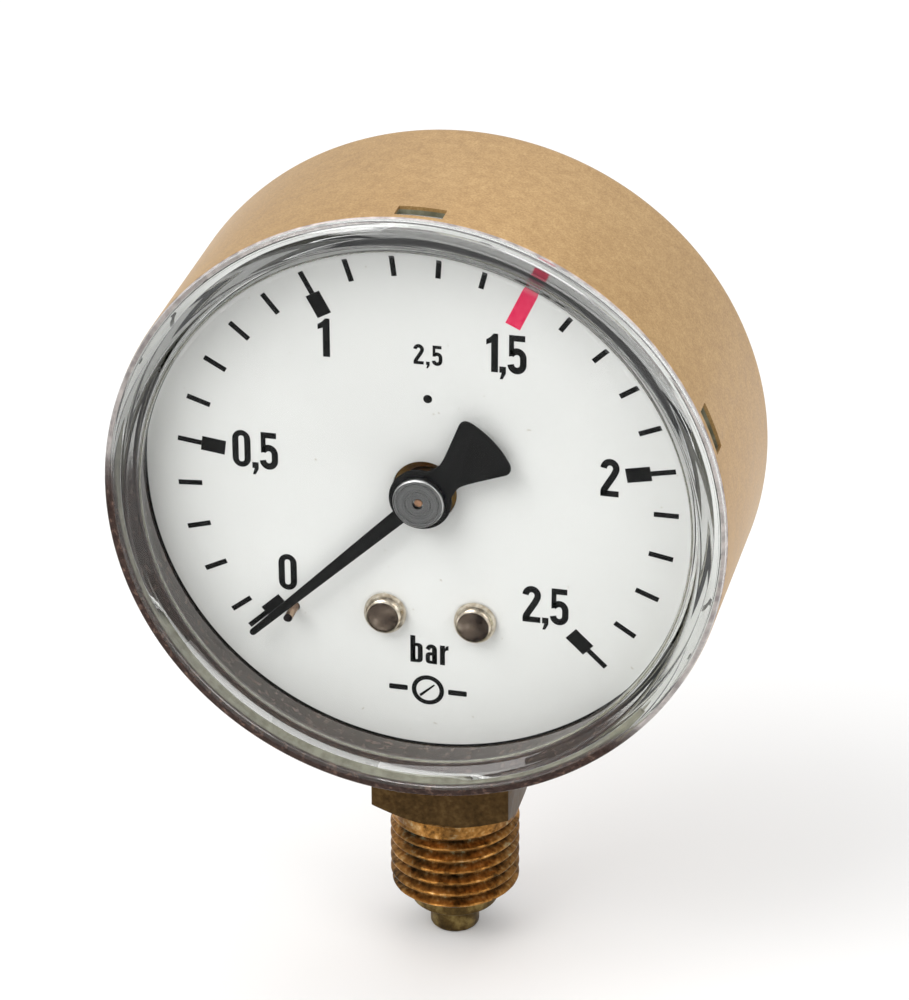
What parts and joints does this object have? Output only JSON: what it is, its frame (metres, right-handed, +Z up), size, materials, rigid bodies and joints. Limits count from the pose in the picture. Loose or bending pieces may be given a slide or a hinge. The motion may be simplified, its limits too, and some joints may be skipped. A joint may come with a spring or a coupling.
{
  "type": "pressure gauge",
  "caption": "Bourdon-tube pressure gauge with a round metal case, clear window, white dial with a centre pointer, and a threaded brass connection at the bottom.",
  "frame": {"origin": "on the stem axis, at the shoulder where the parallel thread of the connection starts", "axes": "+Z up along the stem, from the connection to the case; -Y is the way the dial faces; +X is to the right when reading the dial"},
  "size_m": [0.0598, 0.026, 0.0853],
  "materials": {
    "case_paint": "metallic gold lacquer, satin",
    "clear_window": "clear moulded plastic, polished",
    "dial_face": "off-white stove enamel, satin",
    "nickel": "nickel plated, polished",
    "copper_pin": "copper coloured, worn",
    "pointer_black": "black lacquer, satin",
    "brass": "bright machined brass",
    "turned_steel": "turned, concentric tool marks",
    "socket_brass": "machined brass, darkened on the wrench block, grime in the thread",
    "tube_bronze": "drawn bronze tube, satin",
    "steel": "turned steel",
    "spring_steel": "fine ribbon, satin",
    "plug_rubber": "matt black rubber"
  },
  "bodies": {
    "root": {"case": "case_paint", "window": "clear_window", "dial": "dial_face", "dial_screw_left": "nickel", "dial_screw_right": "nickel", "zero_stop_pin": "copper_pin", "socket": "socket_brass", "restrictor_screw": "brass", "bourdon_tube": "tube_bronze", "front_plate": "brass", "back_plate": "brass", "pillar_1": "brass", "pillar_2": "brass", "pillar_3": "brass", "plate_screw_1": "steel", "plate_screw_2": "steel", "plate_screw_3": "steel", "bearing_collar": "brass", "hairspring": "spring_steel", "hairspring_stud": "brass", "rear_screw_left": "nickel", "rear_screw_right": "nickel", "vent_plug": "plug_rubber"},
    "pointer": {"pointer_blade": "pointer_black", "pointer_bush": "brass", "pointer_cap": "turned_steel", "pinion_arbor": "steel", "hairspring_collet": "brass"},
    "sector": {"sector_gear": "brass", "sector_arbor": "steel", "link_screw": "steel"},
    "link": {"link": "brass"},
    "tip": {"tube_tip": "brass", "tip_pin": "steel"}
  },
  "joints": [
    {"name": "pointer_spin", "type": "hinge", "parent": "root", "child": "pointer", "pos_m": [0, -0.0123, 0.0401], "axis": [0, 1, 0], "range_deg": [0, 275], "stiffness_Nm_per_rad": 0.0004, "springref_deg": -22.92, "deforming": ["hairspring"]},
    {"name": "sector_swing", "type": "hinge", "parent": "root", "child": "sector", "pos_m": [0.0082, -0.0089, 0.03307], "axis": [0, 1, 0], "range_deg": [-34.5, 0]},
    {"name": "link_swing", "type": "hinge", "parent": "sector", "child": "link", "pos_m": [0.01298, -0.0079, 0.03159], "axis": [0, 1, 0], "range_deg": [0, 34.5]},
    {"name": "tube_flex", "type": "hinge", "parent": "root", "child": "tip", "pos_m": [-0.004, 0, 0.04038], "axis": [0, 1, 0], "range_deg": [-9.4, 0], "deforming": ["bourdon_tube"]}
  ],
  "couplings": [
    {"joint": "sector_swing", "follows": "pointer_spin", "ratio": -0.125},
    {"joint": "link_swing", "follows": "pointer_spin", "ratio": 0.125},
    {"joint": "tube_flex", "follows": "pointer_spin", "ratio": -0.0338}
  ]
}
